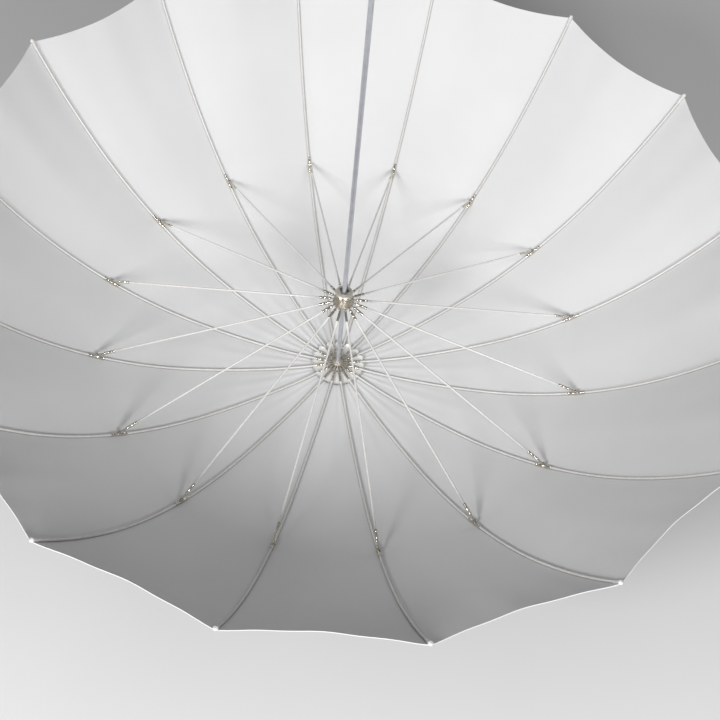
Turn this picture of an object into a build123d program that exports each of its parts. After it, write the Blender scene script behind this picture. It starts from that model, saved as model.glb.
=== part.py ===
# Umbrella reflector: sixteen-rib deep white umbrella on a plain 8 mm shaft, opened, shaft upright.
# Row frame: +Z runs along the shaft from the crown to the free end, the origin is under the back cap.
# Ribs lie at multiples of 22.5 degrees, counted from +X.
import os
from math import atan2, cos, degrees, hypot, radians, sin, sqrt
from build123d import *

# driving dimensions, mm
ribs = 16
shaft_r = 4.0
shaft_wall = 0.9
grip_len = 136.0
crown_z = 24.0
crown_pivot_r = 15.5
crown_lip = 2.5
rod_r = 1.9
tube_wall = 0.6
rib_slope = -4.464
arc_1_r = 742.8
arc_1_len = 130.0
arc_2_r = 1094.2
arc_2_len = 110.0
arc_3_r = 565.8
clip_s = 419.5
clip_half = 15.5
clip_wall = 1.1
pin_clear = 1.4
arc_4_r = 620.0
arc_4_len = 180.0
arc_5_r = 1000.0
arc_5_len = 210.0
tip_r = 2.6
runner_lift = 181.0
runner_pivot_r = 16.6
runner_lip = 2.0
collar_r = 15.0
neck_h = 18.0
collar_h = 7.0
stretcher_r = 1.75
tongue_t = 1.5
ear_t = 1.2
pin_r = 1.0
slot_play = 0.5
runner_slot_play = 1.1
fold_angle = 75.0
wire_r = 0.6
cloth_clear = 0.15
rosette_t = 0.3
canopy_t = 0.4
rosette_r = 40.0
runner_clear = 0.08
stop_clear = 1.0
stop_h = 6.0
neck_w = 2.0
cap_h = 8.0

os.makedirs("parts", exist_ok=True)
step_angle = 360.0 / ribs
ferrule_r = rod_r + tube_wall
clip_r = rod_r + clip_wall
pivot_lift = clip_r + pin_clear


def save(body, name):
    body.part.label = name
    export_step(body.part, "parts/" + name + ".step")


# centreline of a rib: distance along it from the crown pivot -> radius, height, slope in radians
arcs = [(arc_1_r, arc_1_len), (arc_2_r, arc_2_len), (arc_3_r, clip_s + 2 - arc_1_len - arc_2_len)]
arcs = arcs + [(arc_4_r, arc_4_len), (arc_5_r, arc_5_len)]


def rib_at(s):
    x = crown_pivot_r
    z = crown_z
    a = radians(rib_slope)
    for radius, length in arcs:
        part_len = min(s, length)
        turn = part_len / radius
        x = x + radius * (sin(a + turn) - sin(a))
        z = z + radius * (cos(a) - cos(a + turn))
        a = a + turn
        s = s - part_len
        if s <= 0:
            return x, z, a
    return x + s * cos(a), z + s * sin(a), a


def beside(s, up):
    x, z, a = rib_at(s)
    return x - up * sin(a), z + up * cos(a)


def along(x, z, a, d, up=0.0):
    return x + d * cos(a) - up * sin(a), z + d * sin(a) + up * cos(a)


rib_len = sum(length for radius, length in arcs)
joint_x, joint_z = beside(clip_s, pivot_lift)
runner_z = crown_z + runner_lift
reach = hypot(joint_x - runner_pivot_r, joint_z - runner_z)
stretch_a = atan2(joint_z - runner_z, joint_x - runner_pivot_r)
rim_x, rim_z, rim_a = rib_at(rib_len)

# the runner ends its travel when the ribs have folded up by fold_angle; the stop sits just past it
crown_reach = hypot(joint_x - crown_pivot_r, joint_z - crown_z)
crown_a = atan2(joint_z - crown_z, joint_x - crown_pivot_r)
shut_x = crown_pivot_r + crown_reach * cos(crown_a + radians(fold_angle))
shut_z = crown_z + crown_reach * sin(crown_a + radians(fold_angle))
travel = shut_z + sqrt(reach**2 - (shut_x - runner_pivot_r) ** 2) - runner_z
stop_z = runner_z + travel + neck_h + collar_h + stop_clear
grip_z = stop_z + stop_h + 4 + neck_w
shaft_top = grip_z + grip_len + cap_h
canopy_gap = max(clip_r, ferrule_r + cloth_clear + rosette_t) + cloth_clear
rosette_gap = ferrule_r + cloth_clear
foot_r = shaft_r + 5
hole_r = foot_r / cos(radians(step_angle / 2)) + 0.6
eye_r = wire_r + 0.9
ear_y = tongue_t / 2 + 0.15 + ear_t / 2
crown_hub_r = crown_pivot_r + crown_lip
runner_hub_r = runner_pivot_r + runner_lip
print("joint", joint_x, joint_z, "reach", reach, "stretch slope", degrees(stretch_a))
print("rib length", rib_len, "rim", rim_x, rim_z, degrees(rim_a))
print("travel", travel, "stop", stop_z, "grip from", grip_z, "shaft top", shaft_top)

# ---- shaft ----
with BuildPart() as shaft_tube:
    with Locations((0, 0, 6)):
        Cylinder(shaft_r, shaft_top - cap_h - 6, align=(Align.CENTER, Align.CENTER, Align.MIN))
    with Locations((0, 0, 6)):
        Cylinder(
            shaft_r - shaft_wall,
            shaft_top - cap_h - 6,
            align=(Align.CENTER, Align.CENTER, Align.MIN),
            mode=Mode.SUBTRACT,
        )
    with Locations((shaft_r, 0, runner_z + neck_h + collar_h + 16.5)):
        Box(4, 1.9, 33, mode=Mode.SUBTRACT)
    with BuildSketch(Plane.XY.offset(grip_z - neck_w)):
        Circle(shaft_r + 1)
        Circle(shaft_r - 0.3, mode=Mode.SUBTRACT)
    extrude(amount=neck_w, mode=Mode.SUBTRACT)
save(shaft_tube, "shaft_tube")

with BuildPart() as shaft_end_cap:
    with Locations((0, 0, shaft_top - cap_h - 12)):
        Cylinder(shaft_r - shaft_wall, 12, align=(Align.CENTER, Align.CENTER, Align.MIN))
    with Locations((0, 0, shaft_top - cap_h)):
        Cylinder(shaft_r, cap_h, align=(Align.CENTER, Align.CENTER, Align.MIN))
    fillet(shaft_end_cap.edges().group_by(Axis.Z)[-1], 2.5)
save(shaft_end_cap, "shaft_end_cap")

with BuildPart() as stop_ring:
    with BuildSketch(Plane.XZ):
        with BuildLine():
            Polyline(
                (shaft_r, stop_z),
                (shaft_r + 2.6, stop_z),
                (shaft_r + 2.6, stop_z + stop_h / 2),
                (shaft_r + 1.2, stop_z + stop_h),
                (shaft_r, stop_z + stop_h),
                close=True,
            )
        make_face()
    revolve(axis=Axis.Z)
save(stop_ring, "stop_ring")

# ---- crown ----
hub_low = crown_z - eye_r - 0.4
hub_foot = crown_z - canopy_gap - canopy_t - 0.55
with BuildPart() as crown_hub:
    with BuildSketch(Plane.XZ):
        with BuildLine():
            Polyline(
                (shaft_r, hub_foot),
                (foot_r, hub_foot),
                (foot_r, hub_low),
                (crown_hub_r, hub_low),
                (crown_hub_r, crown_z + 3),
                (shaft_r + 4.2, crown_z + 3),
                (shaft_r + 2.4, crown_z + 8),
                (shaft_r, crown_z + 8),
                close=True,
            )
        make_face()
    revolve(axis=Axis.Z)
    with BuildSketch(Plane.XZ):
        with Locations((crown_pivot_r + 2, crown_z)):
            Rectangle(5.6, 2 * wire_r + 0.4)
    revolve(axis=Axis.Z, mode=Mode.SUBTRACT)
    with BuildSketch(Plane.XY.offset(hub_low - 0.1)):
        with PolarLocations(crown_pivot_r - 1.5, ribs):
            Rectangle(2 * (crown_lip + 2.3), tongue_t + slot_play)
    extrude(amount=8, mode=Mode.SUBTRACT)
save(crown_hub, "crown_hub")

with BuildPart() as crown_wire:
    with BuildSketch(Plane.XZ):
        with Locations((crown_pivot_r, crown_z)):
            Circle(wire_r)
    revolve(axis=Axis.Z)
save(crown_wire, "crown_wire")

lobe_r = rosette_r * 0.205
rosette_s = [hole_r - crown_pivot_r, 8.0, 20.0, rosette_r + lobe_r - crown_pivot_r + 4]
rosette_top = [beside(s, -rosette_gap) for s in rosette_s]
rosette_low = [beside(s, -rosette_gap - rosette_t) for s in rosette_s]
with BuildPart() as rosette:
    with BuildSketch(Plane.XZ):
        with BuildLine():
            Spline(*rosette_top)
            Spline(*rosette_low)
            Line(rosette_top[0], rosette_low[0])
            Line(rosette_top[-1], rosette_low[-1])
        make_face()
    revolve(axis=Axis.Z)
    with BuildSketch(Plane.XY.offset(crown_z - 10)):
        Circle(rosette_r)
        with PolarLocations(rosette_r, ribs, start_angle=step_angle / 2):
            Circle(lobe_r)
    extrude(amount=20, mode=Mode.INTERSECT)
save(rosette, "rosette")

with BuildPart() as back_cap:
    with BuildSketch(Plane.XZ):
        with BuildLine():
            Polyline((0, 0), (5.0, 0))
            ThreePointArc((5.0, 0), (8.2, 1.5), (9.6, 5.0))
            Polyline((9.6, 5.0), (11.0, hub_foot - 5))
            ThreePointArc((11.0, hub_foot - 5), (12.4, hub_foot - 3.0), (16.0, hub_foot - 2.2))
            Polyline(
                (16.0, hub_foot - 2.2),
                (crown_hub_r + 3, hub_foot - 1.4),
                (crown_hub_r + 3, hub_foot),
                (0, hub_foot),
                (0, 0),
            )
        make_face()
    revolve(axis=Axis.Z)
    with Locations((0, 0, 6)):
        Cylinder(shaft_r, 30, align=(Align.CENTER, Align.CENTER, Align.MIN), mode=Mode.SUBTRACT)
save(back_cap, "back_cap")

# ---- canopy: sixteen gores, each bent one way only, as the cut cloth is ----
half = radians(step_angle / 2)
shares = [0.0, 0.03, 0.07, 0.13, 0.2, 0.28, 0.36, 0.44, 0.52, 0.6, 0.68, 0.76, 0.84, 0.92, 1.0]
start_s = hole_r - crown_pivot_r
samples = [start_s + share * (rib_len + 2 - start_s) for share in shares]
in_side = [beside(s, -canopy_gap) for s in samples]
out_side = [beside(s, -canopy_gap - canopy_t) for s in samples]
in_side = [(x * cos(half), z) for x, z in in_side]
out_side = [(x * cos(half), z) for x, z in out_side]
gore_frame = Plane(origin=(0, 0, 0), x_dir=(cos(half), sin(half), 0), z_dir=(sin(half), -cos(half), 0))
with BuildPart() as gore:
    with BuildSketch(gore_frame):
        with BuildLine():
            Spline(*in_side)
            Spline(*out_side)
            Line(in_side[0], out_side[0])
            Line(in_side[-1], out_side[-1])
        make_face()
    extrude(amount=rim_x * sin(half) + 20, both=True)
    with BuildSketch(Plane.XY.offset(-20)):
        with BuildLine():
            Polyline((0, 0), (2 * rim_x, 0), (2 * rim_x * cos(2 * half), 2 * rim_x * sin(2 * half)), close=True)
        make_face()
    extrude(amount=rim_z + 60, mode=Mode.INTERSECT)

with BuildPart() as canopy:
    for k in range(ribs):
        add(gore.part.rotate(Axis.Z, k * step_angle))
save(canopy, "canopy")

# ---- runner ----
with BuildPart() as runner_hub:
    with BuildSketch(Plane.XZ):
        with BuildLine():
            Polyline(
                (shaft_r + runner_clear, runner_z - 16),
                (shaft_r + 2.6, runner_z - 16),
                (shaft_r + 3.6, runner_z - 14),
                (shaft_r + 3.6, runner_z - 6),
                (shaft_r + 6.2, runner_z - 4),
                (runner_hub_r, runner_z - 4),
                (runner_hub_r, runner_z + 2.2),
                (shaft_r + 6.2, runner_z + 2.2),
                (shaft_r + 6.2, runner_z + neck_h),
                (shaft_r + runner_clear, runner_z + neck_h),
                close=True,
            )
        make_face()
    revolve(axis=Axis.Z)
    with BuildSketch(Plane.XZ):
        with Locations((runner_pivot_r + 2, runner_z)):
            Rectangle(5.6, 2 * wire_r + 0.4)
    revolve(axis=Axis.Z, mode=Mode.SUBTRACT)
    with BuildSketch(Plane.XY.offset(runner_z - 5)):
        with PolarLocations(runner_pivot_r, ribs):
            Rectangle(2 * (runner_lip + 2.8), tongue_t + runner_slot_play)
    extrude(amount=9, mode=Mode.SUBTRACT)
save(runner_hub, "runner_hub")

top_z = runner_z + neck_h + collar_h
with BuildPart() as runner_collar:
    with BuildSketch(Plane.XZ):
        with BuildLine():
            Polyline(
                (shaft_r + runner_clear, top_z - collar_h),
                (collar_r - 0.6, top_z - collar_h),
                (collar_r, top_z - collar_h + 0.6),
                (collar_r, top_z - 3.5),
            )
            ThreePointArc((collar_r, top_z - 3.5), (collar_r - 1.3, top_z - 1.2), (collar_r - 5, top_z))
            Polyline(
                (collar_r - 5, top_z),
                (shaft_r + 3, top_z),
                (shaft_r + 3, top_z - 4),
                (shaft_r + runner_clear, top_z - 4),
                (shaft_r + runner_clear, top_z - collar_h),
            )
        make_face()
    revolve(axis=Axis.Z)
save(runner_collar, "runner_collar")

with BuildPart() as runner_wire:
    with BuildSketch(Plane.XZ):
        with Locations((runner_pivot_r, runner_z)):
            Circle(wire_r)
    revolve(axis=Axis.Z)
save(runner_wire, "runner_wire")

# ---- spring catch that stops the runner from sliding back ----
catch_low = top_z + 1
with BuildPart() as catch_spring:
    with BuildSketch(Plane.XZ):
        with BuildLine():
            Polyline(
                (0.6, catch_low),
                (shaft_r + 3, catch_low),
                (shaft_r + 3, catch_low + 1.5),
                (shaft_r - 0.6, catch_low + 30),
                (0.6, catch_low + 30),
                close=True,
            )
        make_face()
    extrude(amount=0.6, both=True)
save(catch_spring, "catch_spring")

# ---- one rib inside the stretcher clip, with its crown ferrule, eye and clip ----
x_20, z_20, a_20 = rib_at(20)
a_0 = atan2(z_20 - crown_z, x_20 - crown_pivot_r)
clip_x, clip_z, clip_a = rib_at(clip_s)
flex_x, flex_z, flex_a = rib_at(clip_s + 2)
in_x, in_z, in_a = rib_at(clip_s - clip_half)
rest_3 = clip_s + 2 - arc_1_len - arc_2_len
crown_plane = Plane(origin=(crown_pivot_r, 0, crown_z), x_dir=(0, 1, 0), z_dir=(cos(a_0), 0, sin(a_0)))
with BuildPart() as rib_in:
    with BuildLine(Plane.XZ) as path_in:
        one = JernArc((x_20, z_20), (cos(a_20), sin(a_20)), arc_1_r, degrees((arc_1_len - 20) / arc_1_r))
        two = JernArc(one @ 1, one % 1, arc_2_r, degrees(arc_2_len / arc_2_r))
        three = JernArc(two @ 1, two % 1, arc_3_r, degrees(rest_3 / arc_3_r))
    with BuildSketch(Plane(origin=(x_20, 0, z_20), x_dir=(0, 1, 0), z_dir=(cos(a_20), 0, sin(a_20)))):
        Circle(rod_r)
    sweep(path=path_in.wires()[0])
    with BuildSketch(crown_plane.offset(5.5)):
        Circle(ferrule_r)
    extrude(amount=19.5)
    with BuildSketch(crown_plane):
        Rectangle(tongue_t, 3.0)
    extrude(amount=8)
    with Locations(Location((crown_pivot_r, 0, crown_z), (90, 0, 0))):
        Cylinder(eye_r, tongue_t)
    with Locations(Location((crown_pivot_r, 0, crown_z), (90, 0, 0))):
        Cylinder(wire_r + 0.12, 2 * tongue_t + 1, mode=Mode.SUBTRACT)
    with BuildSketch(Plane(origin=(in_x, 0, in_z), x_dir=(0, 1, 0), z_dir=(cos(in_a), 0, sin(in_a)))):
        Circle(clip_r)
    with BuildLine(Plane.XZ) as path_clip:
        JernArc((in_x, in_z), (cos(in_a), sin(in_a)), arc_3_r, degrees((clip_half + 1.6) / arc_3_r))
    sweep(path=path_clip.wires()[0])
    ear_a = degrees(clip_a)
    for side in (-1, 1):
        with Locations(Location((joint_x, side * ear_y, joint_z), (90, 0, 0))):
            Cylinder(2.6, ear_t)
        mid_x, mid_z = beside(clip_s - 0.6, pivot_lift / 2)
        with Locations(Location((mid_x, side * ear_y, mid_z), (0, -ear_a, 0))):
            Box(4.4, ear_t, pivot_lift)
    with Locations(Location((joint_x, 0, joint_z), (90, 0, 0))):
        Cylinder(pin_r, 2 * ear_y + ear_t)
    with Locations((flex_x, 0, flex_z)):
        Sphere(rod_r + 0.1, mode=Mode.SUBTRACT)
    with Locations(Location((joint_x, 0, joint_z), (90, 0, 0))):
        Cylinder(3.0, tongue_t + 0.3, mode=Mode.SUBTRACT)
    with Locations(Location((joint_x, 0, joint_z), (90, 0, 0))):
        Cylinder(pin_r, 2 * ear_y + ear_t)

# ---- one rib outside the clip, from the flex point to the rim ----
sl_x, sl_z, sl_a = rib_at(clip_s + 3.6)
with BuildPart() as rib_out:
    with BuildLine(Plane.XZ) as path_out:
        four = JernArc((flex_x, flex_z), (cos(flex_a), sin(flex_a)), arc_4_r, degrees(arc_4_len / arc_4_r))
        five = JernArc(four @ 1, four % 1, arc_5_r, degrees(arc_5_len / arc_5_r))
    with BuildSketch(Plane(origin=(flex_x, 0, flex_z), x_dir=(0, 1, 0), z_dir=(cos(flex_a), 0, sin(flex_a)))):
        Circle(rod_r)
    sweep(path=path_out.wires()[0])
    with Locations((flex_x, 0, flex_z)):
        Sphere(rod_r)
    with BuildSketch(Plane(origin=(sl_x, 0, sl_z), x_dir=(0, 1, 0), z_dir=(cos(sl_a), 0, sin(sl_a)))):
        Circle(ferrule_r)
    with BuildLine(Plane.XZ) as path_sleeve:
        JernArc((sl_x, sl_z), (cos(sl_a), sin(sl_a)), arc_4_r, degrees((clip_half - 3.6) / arc_4_r))
    sweep(path=path_sleeve.wires()[0])
    with Locations((rim_x, 0, rim_z)):
        Sphere(tip_r)

# ---- one stretcher, from the runner to the clip ----
st_dir = (cos(stretch_a), 0, sin(stretch_a))
st_plane = Plane(origin=(runner_pivot_r, 0, runner_z), x_dir=(0, 1, 0), z_dir=st_dir)
with BuildPart() as stretcher:
    with BuildSketch(st_plane.offset(20)):
        Circle(stretcher_r)
    extrude(amount=reach - 40)
    with BuildSketch(st_plane.offset(5.5)):
        Circle(ferrule_r)
    extrude(amount=20)
    with BuildSketch(st_plane.offset(reach - 32)):
        Circle(ferrule_r)
    extrude(amount=21)
    with BuildSketch(st_plane):
        Rectangle(tongue_t, 2.8)
    extrude(amount=8)
    with BuildSketch(st_plane.offset(reach - 14)):
        Rectangle(tongue_t, 2.6)
    extrude(amount=14)
    with Locations(Location((runner_pivot_r, 0, runner_z), (90, 0, 0))):
        Cylinder(wire_r + 0.8, tongue_t)
    with Locations(Location((joint_x, 0, joint_z), (90, 0, 0))):
        Cylinder(2.2, tongue_t)
    with Locations(Location((runner_pivot_r, 0, runner_z), (90, 0, 0))):
        Cylinder(wire_r + 0.12, 2 * tongue_t + 1, mode=Mode.SUBTRACT)
    with Locations(Location((joint_x, 0, joint_z), (90, 0, 0))):
        Cylinder(pin_r + 0.06, 2 * tongue_t + 1, mode=Mode.SUBTRACT)
    with Locations((runner_pivot_r, 0, runner_z - 1.5)):
        Box(2 * wire_r + 0.24, 2 * tongue_t + 1, 3.0, mode=Mode.SUBTRACT)

for k in range(ribs):
    number = str(k + 1).zfill(2)
    with BuildPart() as piece:
        add(rib_in.part.rotate(Axis.Z, k * step_angle))
    save(piece, "rib_inner_" + number)
    with BuildPart() as piece:
        add(rib_out.part.rotate(Axis.Z, k * step_angle))
    save(piece, "rib_outer_" + number)
    with BuildPart() as piece:
        add(stretcher.part.rotate(Axis.Z, k * step_angle))
    save(piece, "stretcher_" + number)
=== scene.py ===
# %% [markdown]
# # An umbrella reflector
# This is a deep white studio umbrella, standing open on its back cap with the shaft upright.
# Sixteen glass-fibre ribs are strung on a wire ring at the crown, and sixteen stretchers push them out.
# The frame model is loaded first, because every piece below hangs on one of its bodies.

# %% Load the frame
from math import atan2, cos, exp, hypot, pi, radians, sin, tau
import bpy
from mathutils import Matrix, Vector


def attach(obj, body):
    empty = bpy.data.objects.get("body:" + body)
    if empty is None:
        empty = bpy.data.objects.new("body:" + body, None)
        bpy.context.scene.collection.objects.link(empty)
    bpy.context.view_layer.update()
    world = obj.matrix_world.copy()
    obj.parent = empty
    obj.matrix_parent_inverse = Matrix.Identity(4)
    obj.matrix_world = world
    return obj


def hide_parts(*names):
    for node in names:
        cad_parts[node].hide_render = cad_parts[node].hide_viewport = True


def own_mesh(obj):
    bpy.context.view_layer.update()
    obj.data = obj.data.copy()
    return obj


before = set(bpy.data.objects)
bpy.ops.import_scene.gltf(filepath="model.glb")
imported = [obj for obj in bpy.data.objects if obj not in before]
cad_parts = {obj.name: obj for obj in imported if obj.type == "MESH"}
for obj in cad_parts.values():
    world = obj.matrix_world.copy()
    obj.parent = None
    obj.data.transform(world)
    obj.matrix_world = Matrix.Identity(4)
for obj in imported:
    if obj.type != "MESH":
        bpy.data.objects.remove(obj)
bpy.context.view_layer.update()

# %% [markdown]
# ## Sizes that the umbrella maker would quote
# The ribs are one curve made of tangent arcs: they dip a little as they leave the crown, bend most at
# the stretcher clip, and ease off towards the rim, as a bent rod does. A spline through points would
# also work, but arcs say in plain numbers how hard each stretch of rod is bent. All lengths are in
# metres.

# %% Sizes
RIBS = 16
STEP = tau / RIBS
CROWN_Z = 0.024
EYE_R = 0.0155
RIB_SLOPE = radians(-4.464)
CLIP_AT = 0.4195
FLEX_AT = CLIP_AT + 0.002
PIVOT_LIFT = 0.0044
RIB_ARCS = [(0.7428, 0.13), (1.0942, 0.11), (0.5658, FLEX_AT - 0.24), (0.62, 0.18), (1.0, 0.21)]
RIB_LEN = sum(length for bend, length in RIB_ARCS)
ROD_R = 0.0019
RUNNER_Z = CROWN_Z + 0.181
RUNNER_EYE_R = 0.0166


def rib_at(s):
    """Radius, height and slope of the rib's centreline at a distance s from its eye."""
    x, z, a = EYE_R, CROWN_Z, RIB_SLOPE
    for bend, length in RIB_ARCS:
        run = min(s, length)
        turn = run / bend
        x += bend * (sin(a + turn) - sin(a))
        z += bend * (cos(a) - cos(a + turn))
        a += turn
        s -= run
        if s <= 0:
            return x, z, a
    return x + s * cos(a), z + s * sin(a), a


def beside_rib(s, up):
    """A point beside the rib, up from its centreline on the side of the stretchers."""
    x, z, a = rib_at(s)
    return x - up * sin(a), z + up * cos(a)


JOINT_X, JOINT_Z = beside_rib(CLIP_AT, PIVOT_LIFT)
FLEX_X = rib_at(FLEX_AT)[0]
REACH = hypot(JOINT_X - RUNNER_EYE_R, JOINT_Z - RUNNER_Z)
LEAN = atan2(JOINT_Z - RUNNER_Z, JOINT_X - RUNNER_EYE_R)
print("rib", round(RIB_LEN, 3), "m long, stretcher", round(REACH, 3), "m")

# %% [markdown]
# ## A place to make meshes
# Rods, ferrules and clips are all made lying in one upright plane, the plane of the first rib, and
# then turned round the shaft sixteen times. Modelling one and turning copies keeps all sixteen alike.
# The turning is put into the vertices, so every piece keeps the row's own origin.

# %% Mesh helpers
def turned(points, k):
    """The points of one rib's plane, turned to rib number k."""
    c, s = cos(k * STEP), sin(k * STEP)
    return [(x * c - y * s, x * s + y * c, z) for x, y, z in points]


class Shape:
    """Vertices, faces and finishes that are put together before they become one mesh."""

    def __init__(self):
        self.points, self.faces, self.finish, self.smooth = [], [], [], []

    def add(self, points, faces, finish, smooth=True):
        first = len(self.points)
        self.points += points
        self.faces += [[first + i for i in face] for face in faces]
        self.finish += [finish] * len(faces)
        self.smooth += [smooth] * len(faces)


def make_piece(name, shape, finishes, k=0):
    """A mesh object from a Shape, turned to rib k, with its finishes in order."""
    mesh = bpy.data.meshes.new(name)
    mesh.from_pydata(turned(shape.points, k), [], shape.faces)
    for finish in finishes:
        mesh.materials.append(finish)
    mesh.polygons.foreach_set("material_index", shape.finish)
    mesh.polygons.foreach_set("use_smooth", shape.smooth)
    mesh.update()
    piece = bpy.data.objects.new(name, mesh)
    bpy.context.collection.objects.link(piece)
    return piece


# %% [markdown]
# ## Turning a rod along a line
# A ferrule is a short metal tube crimped on the end of the rod, so a rod with its ferrules is one
# turned shape: at each place along the line it has a radius and a finish. A Blender curve with a bevel
# gives only one radius profile and one material, so the rings are joined by hand here.
# Each step is (distance along, radius, finish of the stretch that starts there).

# %% Rod turning
def turn_rod(shape, line, steps, sides=16):
    """Rings of the given radii along line(s) -> (x, z, slope), with a cap at both ends."""
    points, faces, n = [], [], sides
    for s, radius, finish in steps:
        x, z, a = line(s)
        for i in range(n):
            t = tau * i / n
            up = radius * sin(t)
            points.append((x - up * sin(a), radius * cos(t), z + up * cos(a)))
    for j in range(len(steps) - 1):
        a, b = j * n, (j + 1) * n
        ring = [[a + i, b + i, b + (i + 1) % n, a + (i + 1) % n] for i in range(n)]
        faces += [(f, steps[j][2]) for f in ring]
    first = len(shape.points)
    shape.points += points
    for f, finish in faces:
        shape.faces.append([first + i for i in f[::-1]])
        shape.finish.append(finish)
        shape.smooth.append(True)
    last = (len(steps) - 1) * n
    first_cap, last_cap = [i for i in range(n)], [last + i for i in range(n)][::-1]
    for ring, finish in ((first_cap, steps[0][2]), (last_cap, steps[-1][2])):
        shape.faces.append([first + i for i in ring])
        shape.finish.append(finish)
        shape.smooth.append(False)


def crimped(start, end, radius, finish, ring_at):
    """Steps for one ferrule: a rolled edge at both ends and a pressed-in ring at each crimp."""
    lip = radius * 0.16
    steps = [(start, radius - lip, finish), (start + lip, radius, finish)]
    for at in ring_at:
        steps += [(at - 0.0012, radius, finish), (at - 0.0007, radius * 0.9, finish)]
        steps += [(at + 0.0007, radius * 0.9, finish), (at + 0.0012, radius, finish)]
    return steps + [(end - lip, radius, finish), (end, radius - lip, finish)]


def plate(shape, centre_line, outline, half_thick, finish):
    """A flat blade in the rib's plane: outline is (along, up) pairs from a (x, z, slope) place."""
    x, z, a = centre_line
    ring = [(x + d * cos(a) - u * sin(a), z + d * sin(a) + u * cos(a)) for d, u in outline]
    n = len(ring)
    points = [(px, -half_thick, pz) for px, pz in ring] + [(px, half_thick, pz) for px, pz in ring]
    faces = [list(range(n)), [2 * n - 1 - i for i in range(n)]]
    faces += [[i, i + n, (i + 1) % n + n, (i + 1) % n] for i in range(n)]
    shape.add(points, faces, finish, False)


def eye_outline(radius, neck, length, sides=14):
    """A round eye with a neck that runs into the ferrule."""
    start = 0.5
    around = [start + (tau - 2 * start) * i / sides for i in range(sides + 1)]
    return [(length, neck)] + [(radius * cos(t), radius * sin(t)) for t in around] + [(length, -neck)]


# %% [markdown]
# ## Finishes
# Every finish is made of nodes, so that it holds up close as well as from afar: nickel plate has fine
# rubbing marks, glass-fibre rod has streaks along its length, and the cloth has a plain weave.
# A picture of cloth would be quicker, but it has one resolution and its seams would show.

# %% Node helpers
def finish_base(name):
    material = bpy.data.materials.new(name)
    material.use_nodes = True
    nodes, links = material.node_tree.nodes, material.node_tree.links
    return material, nodes, links, nodes["Principled BSDF"]


def add_node(nodes, kind, **values):
    node = nodes.new(kind)
    for key, value in values.items():
        if key in node.inputs:
            node.inputs[key].default_value = value
        else:
            setattr(node, key, value)
    return node


def mottle(nodes, links, shader, scale, dark, light, stretch=(1, 1, 1)):
    """Two close tones that drift into each other, for the base colour."""
    place = add_node(nodes, "ShaderNodeTexCoord")
    size = add_node(nodes, "ShaderNodeMapping")
    size.inputs["Scale"].default_value = stretch
    noise = add_node(nodes, "ShaderNodeTexNoise", Scale=scale, Detail=4.0)
    ramp = add_node(nodes, "ShaderNodeValToRGB")
    ramp.color_ramp.elements[0].position = 0.35
    ramp.color_ramp.elements[1].position = 0.65
    ramp.color_ramp.elements[0].color = (*dark, 1)
    ramp.color_ramp.elements[1].color = (*light, 1)
    links.new(place.outputs["Object"], size.inputs["Vector"])
    links.new(size.outputs["Vector"], noise.inputs["Vector"])
    links.new(noise.outputs["Fac"], ramp.inputs["Fac"])
    links.new(ramp.outputs["Color"], shader.inputs["Base Color"])
    return noise


def grain(nodes, links, shader, scale, depth, rough=None, strength=0.4):
    """A fine unevenness that catches the light, and the roughness that goes with it."""
    place = add_node(nodes, "ShaderNodeTexCoord")
    noise = add_node(nodes, "ShaderNodeTexNoise", Scale=scale, Detail=5.0)
    bump = add_node(nodes, "ShaderNodeBump", Strength=strength, Distance=depth)
    links.new(place.outputs["Object"], noise.inputs["Vector"])
    links.new(noise.outputs["Fac"], bump.inputs["Height"])
    links.new(bump.outputs["Normal"], shader.inputs["Normal"])
    if rough:
        spread = add_node(nodes, "ShaderNodeMapRange")
        spread.inputs["To Min"].default_value = rough[0]
        spread.inputs["To Max"].default_value = rough[1]
        links.new(noise.outputs["Fac"], spread.inputs["Value"])
        links.new(spread.outputs["Result"], shader.inputs["Roughness"])
    return bump


# %% Metal, glass-fibre and plastic
def plated_metal(name, dark, light, rough, scale=900.0, metallic=1.0):
    material, nodes, links, shader = finish_base(name)
    shader.inputs["Metallic"].default_value = metallic
    mottle(nodes, links, shader, 60.0, dark, light)
    grain(nodes, links, shader, scale, 0.00004, rough)
    return material


nickel = plated_metal("warm_nickel_plate", (0.60, 0.56, 0.49), (0.74, 0.70, 0.63), (0.14, 0.26))
cup_nickel = plated_metal(
    "satin_cup_nickel", (0.60, 0.57, 0.50), (0.68, 0.65, 0.58), (0.34, 0.46), 500.0, 0.55
)
# The hubs get a lighter, less metallic copy of the nickel plate, painted lighter so that their teeth read as
# lit.
hub_nickel = plated_metal("hub_nickel_painted_lighter", (0.66, 0.61, 0.53), (0.80, 0.76, 0.69), (0.22, 0.36), 700.0, 0.8)
shaft_steel = plated_metal(
    "bluish_shaft_plate", (0.60, 0.62, 0.66), (0.68, 0.70, 0.74), (0.28, 0.38), 400.0, 0.75
)
ring_wire = plated_metal("drawn_ring_wire", (0.30, 0.29, 0.28), (0.44, 0.43, 0.41), (0.3, 0.45))
spring_steel = plated_metal("oiled_spring_steel", (0.10, 0.10, 0.11), (0.18, 0.18, 0.19), (0.35, 0.5))

glass_fibre, nodes, links, shader = finish_base("white_glass_fibre")
mottle(nodes, links, shader, 220.0, (0.70, 0.69, 0.66), (0.77, 0.76, 0.74), (1, 1, 0.2))
grain(nodes, links, shader, 700.0, 0.00003, (0.3, 0.45))
shader.inputs["Coat Weight"].default_value = 0.25
shader.inputs["Coat Roughness"].default_value = 0.2

black_plastic, nodes, links, shader = finish_base("moulded_black_plastic")
mottle(nodes, links, shader, 90.0, (0.012, 0.012, 0.013), (0.022, 0.022, 0.023))
grain(nodes, links, shader, 1500.0, 0.00006, (0.42, 0.6))

white_plastic, nodes, links, shader = finish_base("moulded_white_tip")
mottle(nodes, links, shader, 120.0, (0.76, 0.75, 0.72), (0.84, 0.83, 0.81))
grain(nodes, links, shader, 1200.0, 0.00005, (0.4, 0.55))
print("finishes:", [m.name for m in bpy.data.materials])
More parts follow.
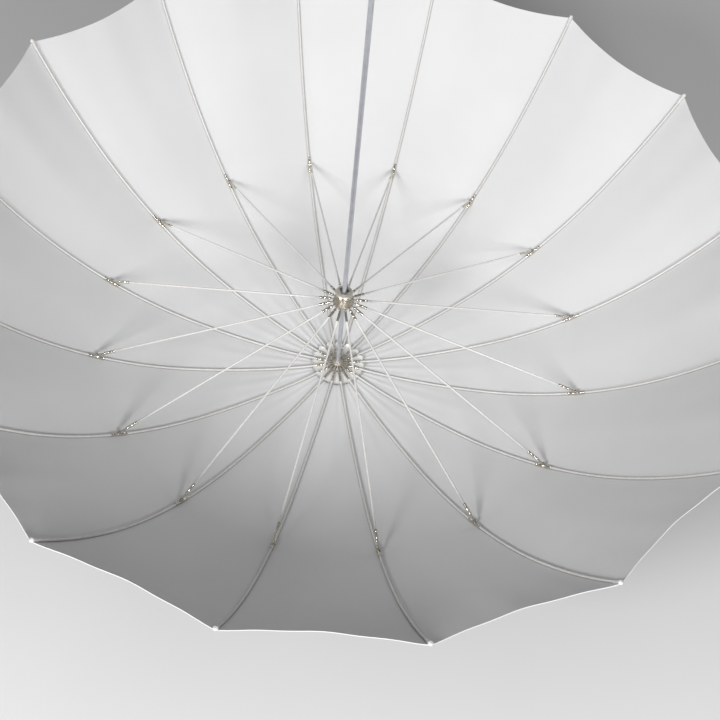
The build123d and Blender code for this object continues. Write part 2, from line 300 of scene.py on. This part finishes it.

# %% [markdown]
# ## Cloth
# The canopy is a plain-woven coated cloth, cut in gores and joined by a flat seam under each rib.
# Weave, stitches and a grey band of painted shade beside each rod, for the rod's shadow on the cloth,
# follow the cloth, not the room, so they are drawn in the gore's own flat coordinates: across from the
# rib, and along it, both in metres.
# Two crossed waves make the threads.

# %% Cloth finishes
def woven(name, dark, light, thread, stitched):
    material, nodes, links, shader = finish_base(name)
    mottle(nodes, links, shader, 5.0, dark, light)
    flat = add_node(nodes, "ShaderNodeUVMap", uv_map="gore_flat")
    threads = []
    for direction in ("X", "Y"):
        wave = add_node(nodes, "ShaderNodeTexWave", Scale=0.314 / thread, Distortion=0.6)
        wave.bands_direction = direction
        links.new(flat.outputs["UV"], wave.inputs["Vector"])
        threads.append(wave)
    cross = add_node(nodes, "ShaderNodeMath", operation="MAXIMUM")
    links.new(threads[0].outputs["Fac"], cross.inputs[0])
    links.new(threads[1].outputs["Fac"], cross.inputs[1])
    weave = add_node(nodes, "ShaderNodeBump", Strength=0.35, Distance=0.00008)
    links.new(cross.outputs["Value"], weave.inputs["Height"])
    links.new(weave.outputs["Normal"], shader.inputs["Normal"])
    shader.inputs["Roughness"].default_value = 0.85
    shader.inputs["Sheen Weight"].default_value = 0.15
    if stitched:
        split = add_node(nodes, "ShaderNodeSeparateXYZ")
        links.new(flat.outputs["UV"], split.inputs["Vector"])
        side = add_node(nodes, "ShaderNodeMath", operation="ABSOLUTE")
        links.new(split.outputs["X"], side.inputs[0])
        # Painted shade: the base colour is darkened to 0.68 close beside the rib, for the rod's contact
        # shadow on the cloth.
        rod_shade_band = add_node(nodes, "ShaderNodeMapRange")
        for socket, value in (("From Min", 0.0021), ("From Max", 0.0036), ("To Min", 0.68), ("To Max", 1.0)):
            rod_shade_band.inputs[socket].default_value = value
        shade = add_node(nodes, "ShaderNodeVectorMath", operation="SCALE")
        links.new(side.outputs["Value"], rod_shade_band.inputs["Value"])
        links.new(shader.inputs["Base Color"].links[0].from_socket, shade.inputs[0])
        links.new(rod_shade_band.outputs["Result"], shade.inputs["Scale"])
        links.new(shade.outputs["Vector"], shader.inputs["Base Color"])
        row = add_node(nodes, "ShaderNodeMath", operation="COMPARE")
        row.inputs[1].default_value = 0.0045
        row.inputs[2].default_value = 0.00035
        links.new(side.outputs["Value"], row.inputs[0])
        beat = add_node(nodes, "ShaderNodeMath", operation="FRACT")
        pace = add_node(nodes, "ShaderNodeMath", operation="MULTIPLY")
        pace.inputs[1].default_value = 1 / 0.0032
        links.new(split.outputs["Y"], pace.inputs[0])
        links.new(pace.outputs["Value"], beat.inputs[0])
        dash = add_node(nodes, "ShaderNodeMath", operation="LESS_THAN")
        dash.inputs[1].default_value = 0.72
        links.new(beat.outputs["Value"], dash.inputs[0])
        stitch = add_node(nodes, "ShaderNodeMath", operation="MULTIPLY")
        links.new(row.outputs["Value"], stitch.inputs[0])
        links.new(dash.outputs["Value"], stitch.inputs[1])
        sewn = add_node(nodes, "ShaderNodeBump", Strength=0.6, Distance=0.0003)
        links.new(stitch.outputs["Value"], sewn.inputs["Height"])
        links.new(weave.outputs["Normal"], sewn.inputs["Normal"])
        links.new(sewn.outputs["Normal"], shader.inputs["Normal"])
    return material


white_cloth = woven("white_gore_cloth", (0.80, 0.80, 0.80), (0.83, 0.83, 0.83), 0.0006, True)
black_cloth = woven("black_backing_cloth", (0.012, 0.012, 0.014), (0.022, 0.022, 0.024), 0.0006, True)
patch_cloth = woven("white_patch_cloth", (0.82, 0.82, 0.81), (0.86, 0.86, 0.85), 0.0008, False)

# %% [markdown]
# ## The ribs inside the clip
# Each rib is a white rod. At the crown it ends in a crimped ferrule with a flat eye for the wire ring.
# A metal clip sits where the stretcher pushes: a sleeve round the rod with two ears and a pin.
# The clip could be a separate piece, but it is crimped on and never moves, so it goes with the rod.

# %% Inner ribs
AT_20 = rib_at(0.02)
EYE_SLOPE = atan2(AT_20[1] - CROWN_Z, AT_20[0] - EYE_R)


def eye_line(s):
    """The straight ferrule at the crown, from the eye through the point where the bend begins."""
    return EYE_R + s * cos(EYE_SLOPE), CROWN_Z + s * sin(EYE_SLOPE), EYE_SLOPE


def disc_ear(shape, x, z, radius, y_low, y_high, finish, sides=18):
    """A round ear, standing across the rib's plane from y_low to y_high."""
    points = []
    for y in (y_low, y_high):
        turns = [tau * i / sides for i in range(sides)]
        points += [(x + radius * cos(t), y, z + radius * sin(t)) for t in turns]
    faces = [[i, (i + 1) % sides, (i + 1) % sides + sides, i + sides] for i in range(sides)]
    shape.add(points, [f[::-1] for f in faces], finish)
    shape.add(points, [list(range(sides)), list(range(2 * sides - 1, sides - 1, -1))], finish, False)


def inner_rib():
    shape = Shape()
    plate(shape, eye_line(0), eye_outline(0.0015, 0.0014, 0.008), 0.00072, 1)
    turn_rod(shape, eye_line, crimped(0.0055, 0.025, 0.0025, 1, (0.0105, 0.0205)), 20)
    rod = [0.024 + (CLIP_AT - 0.026) * i / 60 for i in range(61)]
    turn_rod(shape, rib_at, [(s, ROD_R, 0) for s in rod], 14)
    turn_rod(shape, rib_at, crimped(CLIP_AT - 0.0155, CLIP_AT + 0.0016, 0.003, 1, (CLIP_AT - 0.0115,)), 20)
    x, z, a = rib_at(CLIP_AT)
    for side in (-1, 1):
        low, high = sorted((side * 0.0009, side * 0.0021))
        disc_ear(shape, JOINT_X, JOINT_Z, 0.0026, low, high, 1)
        neck = [(-0.0026, 0.0018), (0.0018, 0.0018), (0.0022, 0.0042), (-0.0022, 0.0042)]
        first = len(shape.points)
        plate(shape, (x, z, a), neck, 0.0006, 1)
        moved = [(px, py + side * 0.0015, pz) for px, py, pz in shape.points[first:]]
        shape.points[first:] = moved
        disc_ear(shape, JOINT_X, JOINT_Z, 0.00135, *sorted((side * 0.0021, side * 0.0026)), 1)
    disc_ear(shape, JOINT_X, JOINT_Z, 0.001, -0.0021, 0.0021, 1, 12)
    return shape


rib_shape = inner_rib()
for k in range(RIBS):
    piece = make_piece(f"rib_rod_inner_{k + 1:02d}", rib_shape, [glass_fibre, nickel], k)
    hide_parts(f"rib_inner_{k + 1:02d}")
    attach(piece, f"rib_inner_{k + 1:02d}")
print("inner ribs:", RIBS, "with", len(rib_shape.points), "points each")

# %% [markdown]
# ## The ribs outside the clip
# The same rod goes on to the rim, where a moulded tip sits in a pocket of the cloth.
# The real rod bends along its whole length as the umbrella shuts. Here it turns at the clip.

# %% Outer ribs
def outer_rib():
    shape = Shape()
    start = FLEX_AT
    ball = [(start - ROD_R * cos(t), max(ROD_R * sin(t), 0.00005), 0) for t in (0.0, 0.5, 1.0, 1.35)]
    rod = [start + (RIB_LEN - 0.014 - start) * i / 60 for i in range(61)]
    turn_rod(shape, rib_at, ball + [(s, ROD_R, 0) for s in rod], 14)
    turn_rod(shape, rib_at, crimped(CLIP_AT + 0.0036, CLIP_AT + 0.0155, 0.0025, 1, (CLIP_AT + 0.0115,)), 20)
    end = RIB_LEN
    tip = [(end - 0.018, 0.0021, 2), (end - 0.0176, 0.0024, 2), (end - 0.004, 0.0026, 2)]
    tip += [(end - 0.003, 0.0034, 2), (end - 0.0022, 0.0036, 2), (end + 0.0004, 0.0034, 2)]
    tip += [(end + 0.0018, 0.0024, 2), (end + 0.0023, 0.0008, 2)]
    turn_rod(shape, rib_at, tip, 18)
    return shape


outer_shape = outer_rib()
for k in range(RIBS):
    piece = make_piece(f"rib_rod_outer_{k + 1:02d}", outer_shape, [glass_fibre, nickel, white_plastic], k)
    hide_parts(f"rib_outer_{k + 1:02d}")
    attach(piece, f"rib_outer_{k + 1:02d}")
print("outer ribs:", RIBS)

# %% [markdown]
# ## The stretchers
# A stretcher is a thinner straight rod with a ferrule on both ends. The runner end has an eye for the
# runner's wire ring, and the outer end has a blade that sits between the ears of the clip.

# %% Stretchers
def stretcher_line(s):
    return RUNNER_EYE_R + s * cos(LEAN), RUNNER_Z + s * sin(LEAN), LEAN


def stretcher_shape():
    shape = Shape()
    plate(shape, stretcher_line(0), eye_outline(0.0014, 0.0013, 0.008), 0.00072, 1)
    turn_rod(shape, stretcher_line, crimped(0.0055, 0.0255, 0.0025, 1, (0.0105, 0.0205)), 20)
    rod = [0.024 + (REACH - 0.054) * i / 12 for i in range(13)]
    turn_rod(shape, stretcher_line, [(s, 0.00175, 0) for s in rod], 14)
    outer_ferrule = crimped(REACH - 0.032, REACH - 0.011, 0.0025, 1, (REACH - 0.027, REACH - 0.016))
    turn_rod(shape, stretcher_line, outer_ferrule, 20)
    x, z, a = stretcher_line(REACH)
    plate(shape, (x, z, a + pi), eye_outline(0.0022, 0.0013, 0.0125), 0.00072, 1)
    return shape


push_shape = stretcher_shape()
for k in range(RIBS):
    piece = make_piece(f"stretcher_rod_{k + 1:02d}", push_shape, [glass_fibre, nickel], k)
    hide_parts(f"stretcher_{k + 1:02d}")
    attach(piece, f"stretcher_{k + 1:02d}")
print("stretchers:", RIBS)

# %% [markdown]
# ## The canopy
# Cloth is cut flat, so between two ribs it can bend only one way: straight across, curved along.
# The tension then draws it a little inwards between the ribs, and small folds run out from the crown
# and from the tips. Each rib carries the half gore on either side of it, split at the clip, so that
# the cloth goes with the rib when the umbrella shuts. Open, neighbours share their edge exactly. Shut,
# real cloth hangs in folds, and here each piece only turns with its rib. That is simpler, but
# it leaves flat strips that still run into each other near the rim and into the rods at the clip.

# %% Canopy shape
HALF = STEP / 2
CLOTH_START = 0.0125
CLOTH_THICK, HEM_THICK = 0.0006, 0.0011


def cloth_gap(s):
    """How far the cloth lies under the rib's centreline: below the crown patch, then touching the rod."""
    near = max(0.0, 1 - max(0.0, s - 0.03) / 0.05)
    clip = exp(-(((s - CLIP_AT) / 0.02) ** 2))
    return 0.0022 + 0.0011 * near * near + 0.0011 * clip


def cloth_point(s, across, below):
    """A point of the cloth: s along the rib, across from 0 between the ribs to 1 on the rib."""
    x, z, a = rib_at(max(s, 0.0))
    gap = cloth_gap(s)
    x, z = x + gap * sin(a), z - gap * cos(a)
    depth, width = x * cos(HALF), x * sin(HALF)
    sag = 0.034 * width * (1 - across * across) ** 2 * min(1.0, s / 0.12)
    fold = 0.0003 * exp(-(((s - 0.06) / 0.16) ** 2)) + 0.0007 * (s / RIB_LEN) ** 4
    sag += fold * cos(3 * pi * across) * (1 - across**6) * min(1.0, s / 0.04)
    lift = sag - below
    return depth - lift * sin(a), width * across, z + lift * cos(a)


def in_rib_frame(point, side):
    """From the middle of the gore to the rib's own plane, on the given side of the rib."""
    depth, over, z = point
    x = depth * cos(HALF) + over * sin(HALF)
    y = side * (depth * sin(HALF) - over * cos(HALF))
    return x, y, z


def split_at_clip(across):
    """How far along the cloth crosses the line of the clip's hinge."""
    low, high = CLIP_AT, CLIP_AT + 0.03
    for _ in range(40):
        mid = (low + high) / 2
        if in_rib_frame(cloth_point(mid, across, 0), 1)[0] < FLEX_X:
            low = mid
        else:
            high = mid
    return (low + high) / 2


def cloth_end(across):
    """The rim is cut in a shallow hollow between the tips."""
    return RIB_LEN - 0.003 - 0.016 * (1 - across * across)


# %% Canopy pieces
across_steps = [0.0, 0.04, 0.1, 0.16, 0.25, 0.34, 0.43, 0.52, 0.61, 0.70, 0.78, 0.86, 0.91, 0.95, 0.98, 1.0]
columns = [(t, -1) for t in across_steps] + [(t, 1) for t in across_steps[-2::-1]]


def row_share(rows, outer):
    """Even rows along the piece, with two more where the hem begins."""
    shares = [i / rows for i in range(rows)]
    return shares + [0.9735, 0.9745, 1.0] if outer else shares + [1.0]


def cloth_piece(name, k, outer):
    """White cloth with its black backing, and a doubled hem at the rim. Neighbours meet edge to edge."""
    shares = row_share(34, outer)
    rows, wide = len(shares), len(columns)
    points, flats, faces, kinds = [], [], [], []
    for layer in (0, 1):
        for share in shares:
            for across, side in columns:
                split = splits[across]
                start, end = (split, cloth_end(across)) if outer else (CLOTH_START - EYE_R, split)
                s = start + (end - start) * share
                thick = HEM_THICK if outer and share > 0.974 else CLOTH_THICK
                points.append(in_rib_frame(cloth_point(s, across, layer * thick), side))
                width = rib_at(max(s, 0.0))[0] * sin(HALF)
                flats.append((side * width * (1 - across), s))
    layer = rows * wide
    for j in range(rows - 1):
        for i in range(wide - 1):
            a = j * wide + i
            faces.append([a, a + wide, a + wide + 1, a + 1])
            faces.append([layer + a, layer + a + 1, layer + a + wide + 1, layer + a + wide])
            kinds += [0, 1]
    smooth = [True] * len(faces)
    row = rows - 1 if outer else 0
    for i in range(wide - 1):
        a, first = row * wide + i, len(points)
        corners = [a, a + 1, layer + a + 1, layer + a]
        points += [points[n] for n in corners]
        flats += [flats[n] for n in corners]
        edge = [first, first + 1, first + 2, first + 3]
        faces.append([edge[0], edge[3], edge[2], edge[1]] if outer else edge)
        kinds.append(0)
        smooth.append(False)
    mesh = bpy.data.meshes.new(name)
    mesh.from_pydata(turned(points, k), [], faces)
    for finish in (white_cloth, black_cloth):
        mesh.materials.append(finish)
    mesh.polygons.foreach_set("material_index", kinds)
    mesh.polygons.foreach_set("use_smooth", smooth)
    uv = mesh.uv_layers.new(name="gore_flat")
    for loop in mesh.loops:
        uv.data[loop.index].uv = flats[loop.vertex_index]
    mesh.update()
    piece = bpy.data.objects.new(name, mesh)
    bpy.context.collection.objects.link(piece)
    area = sum(f.area for f, kind in zip(mesh.polygons, kinds) if kind == 0)
    return piece, area


splits = {across: split_at_clip(across) for across in across_steps}
total = 0.0
for k in range(RIBS):
    for outer in (False, True):
        rod, end = ("outer", "rim") if outer else ("inner", "crown")
        body = f"rib_{rod}_{k + 1:02d}"
        name = f"gore_{end}_{k + 1:02d}"
        cloth, area = cloth_piece(name, k, outer)
        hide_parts("canopy")
        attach(cloth, body)
        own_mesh(cloth)
        total += area
print("canopy:", round(total, 2), "square metres of cloth")

# %% [markdown]
# ## The crown patch
# A scalloped patch of stiff cloth lies over the middle of the canopy, round the hub, and hides where
# the sixteen points of the gores come together. Each lobe fills one gore and curls up a little at its
# edge, so that its dark underside shows. The innermost ring of its top is black, painted shade that
# backs the slots of the hub. It is cut from one piece, so it is one ring of cloth here.

# %% Crown patch
PATCH_R, LOBE_R, HOLE_R = 0.040, 0.0082, 0.0096


def patch_edge(t):
    """Radius of the patch's edge at an angle t from the middle of its lobe."""
    return PATCH_R * cos(t) + (LOBE_R**2 - (PATCH_R * sin(t)) ** 2) ** 0.5


def patch_point(t, share, below):
    lobe = (t / STEP) % 1.0
    off = (lobe - 0.5) * STEP
    radius = HOLE_R + (patch_edge(off) - HOLE_R) * share
    x, z = beside_rib(radius - EYE_R, -0.0027)
    curl = 0.0062 * max(0.0, (share - 0.89) / 0.11) ** 2 * max(0.0, cos(pi * (lobe - 0.5))) ** 1.5
    return radius * cos(t), radius * sin(t), z + curl - below


turns, shares = 12 * RIBS, [0.0, 0.22, 0.38, 0.55, 0.75, 0.88, 0.91, 0.935, 0.955, 0.97, 0.985, 1.0]
rings = [(share, 0.0) for share in shares] + [(share, 0.0003) for share in shares[::-1]]
points = [patch_point(i * tau / turns, share, below) for share, below in rings for i in range(turns)]
faces = []
for j in range(len(rings)):
    a, b = j * turns, (j + 1) % len(rings) * turns
    faces += [[a + i, b + i, b + (i + 1) % turns, a + (i + 1) % turns] for i in range(turns)]
patch = Shape()
patch.add(points, faces, 1)
# All faces start black. This loop makes the top white except its innermost ring, which stays black as painted
# shade under the hub's slots. The rim edge and the underside stay black.
for n in range(turns, (len(shares) - 1) * turns):
    patch.finish[n] = 0
crown_patch = make_piece("crown_patch", patch, [patch_cloth, black_cloth])
flat_map = crown_patch.data.uv_layers.new(name="gore_flat")
for loop in crown_patch.data.loops:
    flat_map.data[loop.index].uv = crown_patch.data.vertices[loop.vertex_index].co.xy
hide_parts("rosette")
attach(crown_patch, "shaft")

# %% [markdown]
# ## The cup on the runner
# A spun metal cup sits on the runner and takes the thumb when the umbrella is opened. Its top is
# brushed and looks pale, and its side is polished and looks dark, so it needs two finishes and is
# turned here from one profile: radius and height of each corner, with the finish that starts there.

# %% Runner cup
def lathe(profile, sides=72):
    """A turned piece round the shaft from (radius, height, finish, smooth) corners in a closed loop."""
    shape = Shape()
    for i, (r, z, finish, smooth) in enumerate(profile):
        r_next, z_next = profile[(i + 1) % len(profile)][:2]
        ends = ((r, z), (r_next, z_next))
        turns = [tau * n / sides for n in range(sides)]
        ring = [(wide * cos(t), wide * sin(t), high) for wide, high in ends for t in turns]
        wall = [[n, (n + 1) % sides, sides + (n + 1) % sides, sides + n] for n in range(sides)]
        shape.add(ring, wall, finish, smooth)
    return shape


CUP_TOP = RUNNER_Z + 0.025
cup = [(0.00408, -0.007, 1), (0.0144, -0.007, 1), (0.015, -0.0064, 1), (0.015, -0.0042, 1)]
cup += [(0.0147, -0.0039, 1), (0.0147, -0.0036, 1), (0.015, -0.0033, 0)]
cup += [(0.010 + 0.005 * cos(t), -0.0035 + 0.0035 * sin(t), 0) for t in (0.35, 0.7, 1.05, 1.4)]
cup += [(0.010, 0.0, 0), (0.0074, 0.0, 0), (0.007, -0.0004, 1), (0.007, -0.004, 1), (0.00408, -0.004, 1)]
cup_shape = lathe([(r, CUP_TOP + z, finish, True) for r, z, finish in cup])
runner_cup = make_piece("runner_cup", cup_shape, [cup_nickel, nickel])
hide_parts("runner_collar")
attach(runner_cup, "runner")
print("runner cup top at", round(CUP_TOP, 3))

# %% [markdown]
# ## The spring catch
# A blade of spring steel stands out through a slot in the shaft, just above the cup, and keeps the
# runner from sliding back. Its foot wraps the shaft with a small lobe on each side for the fingers.
# It is stamped from sheet, so a flat outline with a thickness is the whole piece.

# %% Catch
catch = Shape()
at_shaft = (0.0, RUNNER_Z + 0.026, 0.0)
blade = [(0.0006, 0.0), (0.0070, 0.0), (0.0084, 0.0010), (0.0088, 0.0026), (0.0080, 0.0044), (0.0062, 0.0056)]
blade += [(0.0052, 0.0068), (0.0034, 0.030), (0.0006, 0.030)]
lobe = [(-0.0042, 0.0), (-0.0070, 0.0), (-0.0084, 0.0010), (-0.0088, 0.0026), (-0.0080, 0.0044)]
lobe += [(-0.0062, 0.0056), (-0.0042, 0.0060)]
plate(catch, at_shaft, blade[::-1], 0.0006, 0)
plate(catch, at_shaft, lobe, 0.0006, 0)
catch_blade = make_piece("catch_blade", catch, [spring_steel])
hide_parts("catch_spring")
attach(catch_blade, "catch")
print("catch:", len(catch.points), "points")

# %% [markdown]
# ## Hardware that the frame model already shapes
# The crown hub, runner, shaft and back cap are turned metal or moulded plastic, and the frame
# model has their true shape, so they keep it and only get their finish here.

# %% Hardware finishes
hardware = {
    "shaft_tube": shaft_steel,
    "shaft_end_cap": black_plastic,
    "stop_ring": nickel,
    "crown_hub": hub_nickel,
    "crown_wire": ring_wire,
    "back_cap": black_plastic,
    "runner_hub": hub_nickel,
    "runner_wire": ring_wire,
}
for name, finish in hardware.items():
    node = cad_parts[name]
    node.data.materials.clear()
    node.data.materials.append(finish)
print("finished:", sorted(hardware))

# %% [markdown]
# ## Floor, light and camera
# The umbrella stands in a white studio. Two big soft lamps stand left and right above the camera, so
# each stretcher throws two soft shadows on the cloth. One lamp would be simpler but gives only one.

# %% Studio
floor_mesh = bpy.data.meshes.new("studio_floor")
FLOOR_REACH, FLOOR_Z = 9, -0.0005
corners = [(-1, -1), (1, -1), (1, 1), (-1, 1)]
floor_points = [(x * FLOOR_REACH, y * FLOOR_REACH, FLOOR_Z) for x, y in corners]
floor_mesh.from_pydata(floor_points, [], [[0, 1, 2, 3]])
floor = bpy.data.objects.new("studio_floor", floor_mesh)
bpy.context.collection.objects.link(floor)
floor_paint, nodes, links, shader = finish_base("pale_studio_floor")
mottle(nodes, links, shader, 2.0, (0.80, 0.80, 0.80), (0.82, 0.82, 0.82))
shader.inputs["Roughness"].default_value = 0.8
floor_mesh.materials.append(floor_paint)

world = bpy.data.worlds.new("studio_air")
bpy.context.scene.world = world
world.use_nodes = True
air, wires = world.node_tree.nodes, world.node_tree.links
place = add_node(air, "ShaderNodeTexCoord")
height = add_node(air, "ShaderNodeSeparateXYZ")
ceiling = add_node(air, "ShaderNodeValToRGB")
ceiling.color_ramp.elements[0].position = 0.1
ceiling.color_ramp.elements[0].color = (0.10, 0.10, 0.11, 1)
ceiling.color_ramp.elements[1].position = 0.9
ceiling.color_ramp.elements[1].color = (0.98, 0.99, 1.0, 1)
wires.new(place.outputs["Generated"], height.inputs["Vector"])
wires.new(height.outputs["Z"], ceiling.inputs["Fac"])
wires.new(ceiling.outputs["Color"], air["Background"].inputs["Color"])
air["Background"].inputs["Strength"].default_value = 0.30


def soft_lamp(name, place, aim, size, power):
    lamp = bpy.data.lights.new(name, "AREA")
    lamp.shape, lamp.size, lamp.energy = "DISK", size, power
    holder = bpy.data.objects.new(name, lamp)
    holder.location = place
    holder.rotation_euler = (Vector(aim) - Vector(place)).to_track_quat("-Z", "Y").to_euler()
    bpy.context.collection.objects.link(holder)
    return holder


LAMP_AIM, LAMP_SIZE, LAMP_POWER = (0, 0.15, 0.15), 1.1, 74
soft_lamp("left_softbox", (-1.5, -2.75, 2.15), LAMP_AIM, LAMP_SIZE, LAMP_POWER)
soft_lamp("right_softbox", (1.6, -2.75, 2.15), LAMP_AIM, LAMP_SIZE, LAMP_POWER)

# %% Camera
eye = bpy.data.cameras.new("studio_camera")
eye.sensor_width = 36.0
eye.lens = 61.58
eye.clip_end = 50
camera = bpy.data.objects.new("studio_camera", eye)
camera.location = (0.22834609, -1.28500211, 1.83170824)
camera.rotation_euler = (radians(35.88865288), radians(-3.9580999), radians(13.79407488))
bpy.context.collection.objects.link(camera)
bpy.context.scene.camera = camera
bpy.context.scene.view_settings.view_transform = "Standard"
